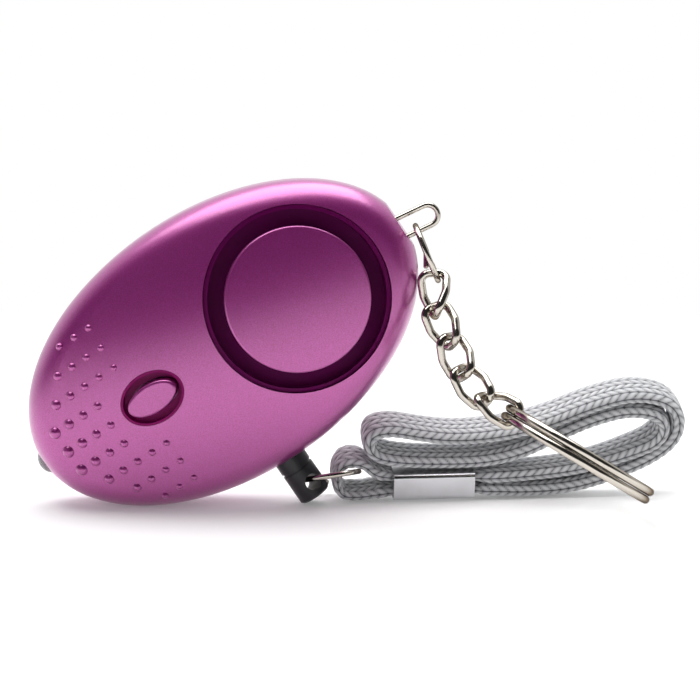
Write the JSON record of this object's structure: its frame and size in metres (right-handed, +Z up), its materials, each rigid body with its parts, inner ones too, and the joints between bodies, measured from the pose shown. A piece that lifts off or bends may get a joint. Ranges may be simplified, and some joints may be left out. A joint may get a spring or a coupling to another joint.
{
  "type": "personal safety alarm",
  "caption": "Egg-shaped handheld siren with light button, lamp tip, pull pin on a braided wrist strap, and a key ring on a twisted-link chain.",
  "frame": {"origin": "on the table, under the middle of the rigid pieces' bounding box, the soft lanyard left out", "axes": "+Z up, the alarm's front faces -Y, its long axis is tilted up towards +X"},
  "size_m": [0.0997, 0.0347, 0.0499],
  "materials": {
    "purple_paint": "metallic satin lacquer",
    "plum_plastic": "satin",
    "magenta_plastic": "gloss",
    "clear_lamp": "clear",
    "tinned_lead": "tinned",
    "black_plastic": "matt",
    "piezo_brass": "plain",
    "green_laminate": "solder mask",
    "copper_winding": "enamelled",
    "cell_steel": "brushed",
    "screw_steel": "plain",
    "spring_brass": "plain",
    "pin_plastic": "satin",
    "nickel_plate": "nickel plated",
    "crimp_steel": "plated sheet",
    "grey_braid": "braided"
  },
  "bodies": {
    "case": {"front_shell": "purple_paint", "rear_shell": "purple_paint", "siren_grille": "plum_plastic", "siren_disc": "purple_paint", "button_bezel": "magenta_plastic", "lamp": "clear_lamp", "key_bail": "nickel_plate", "sounder_chamber": "black_plastic", "piezo_disc": "piezo_brass", "tact_switch": "black_plastic", "lamp_leads": "tinned_lead", "circuit_board": "green_laminate", "boost_coil": "copper_winding", "driver_chip": "black_plastic", "button_cells": "cell_steel", "battery_tray": "black_plastic", "contact_strips": "nickel_plate", "case_screws": "screw_steel", "pin_socket": "black_plastic", "contact_leaves": "spring_brass"},
    "button": {"light_button": "purple_paint", "switch_plunger": "black_plastic"},
    "pull_pin": {"pull_pin": "pin_plastic"},
    "pin_ring": {"pin_ring": "nickel_plate"},
    "lanyard": {"wrist_strap": "grey_braid", "lanyard_crimp": "crimp_steel"},
    "bail_ring": {"bail_ring": "nickel_plate"},
    "key_ring": {"key_ring": "nickel_plate"},
    "link_1": {"chain_link_1": "nickel_plate"},
    "link_2": {"chain_link_2": "nickel_plate"},
    "link_3": {"chain_link_3": "nickel_plate"},
    "link_4": {"chain_link_4": "nickel_plate"},
    "link_5": {"chain_link_5": "nickel_plate"}
  },
  "joints": [
    {"name": "button_press", "type": "slide", "parent": "case", "child": "button", "axis": [0.094, 0.9936, 0.0634], "range_m": [0, 0.0004], "stiffness_N_per_m": 1500, "springref_m": -0.0003},
    {"name": "pin_pull", "type": "slide", "parent": "case", "child": "pull_pin", "axis": [0.5592, 0, -0.829], "range_m": [0, 0.014]},
    {"name": "pin_ring_swing", "type": "hinge", "parent": "pull_pin", "child": "pin_ring", "pos_m": [-0.00432, 0.00798, 0.00334], "axis": [0.4145, -0.866, 0.2796], "range_deg": [-10, 8]},
    {"name": "lanyard_swing", "type": "hinge", "parent": "pin_ring", "child": "lanyard", "pos_m": [0.0033, 0.01173, 0.00367], "axis": [0, 1, 0], "range_deg": [-3, 8]},
    {"name": "bail_ring_swing", "type": "hinge", "parent": "case", "child": "bail_ring", "pos_m": [0.01202, 0.00798, 0.04189], "axis": [-0.9026, 0, -0.4305], "range_deg": [0, 30]},
    {"name": "link_1_swing", "type": "hinge", "parent": "bail_ring", "child": "link_1", "pos_m": [0.01474, 0.00578, 0.03543], "axis": [0, 1, 0], "range_deg": [-15, 3]},
    {"name": "link_2_swing", "type": "hinge", "parent": "link_1", "child": "link_2", "pos_m": [0.01501, 0.0039, 0.0307], "axis": [0, 1, 0], "range_deg": [-12, 12]},
    {"name": "link_3_swing", "type": "hinge", "parent": "link_2", "child": "link_3", "pos_m": [0.01714, 0.00201, 0.02647], "axis": [0, 1, 0], "range_deg": [-12, 12]},
    {"name": "link_4_swing", "type": "hinge", "parent": "link_3", "child": "link_4", "pos_m": [0.01876, 0.00012, 0.02202], "axis": [0, 1, 0], "range_deg": [-12, 12]},
    {"name": "link_5_swing", "type": "hinge", "parent": "link_4", "child": "link_5", "pos_m": [0.02188, -0.00177, 0.01845], "axis": [0, 1, 0], "range_deg": [-12, 12]},
    {"name": "key_ring_swing", "type": "hinge", "parent": "link_5", "child": "key_ring", "pos_m": [0.02612, -0.00365, 0.01634], "axis": [-0.0698, 0.9909, -0.1152], "range_deg": [-10, 4]}
  ]
}
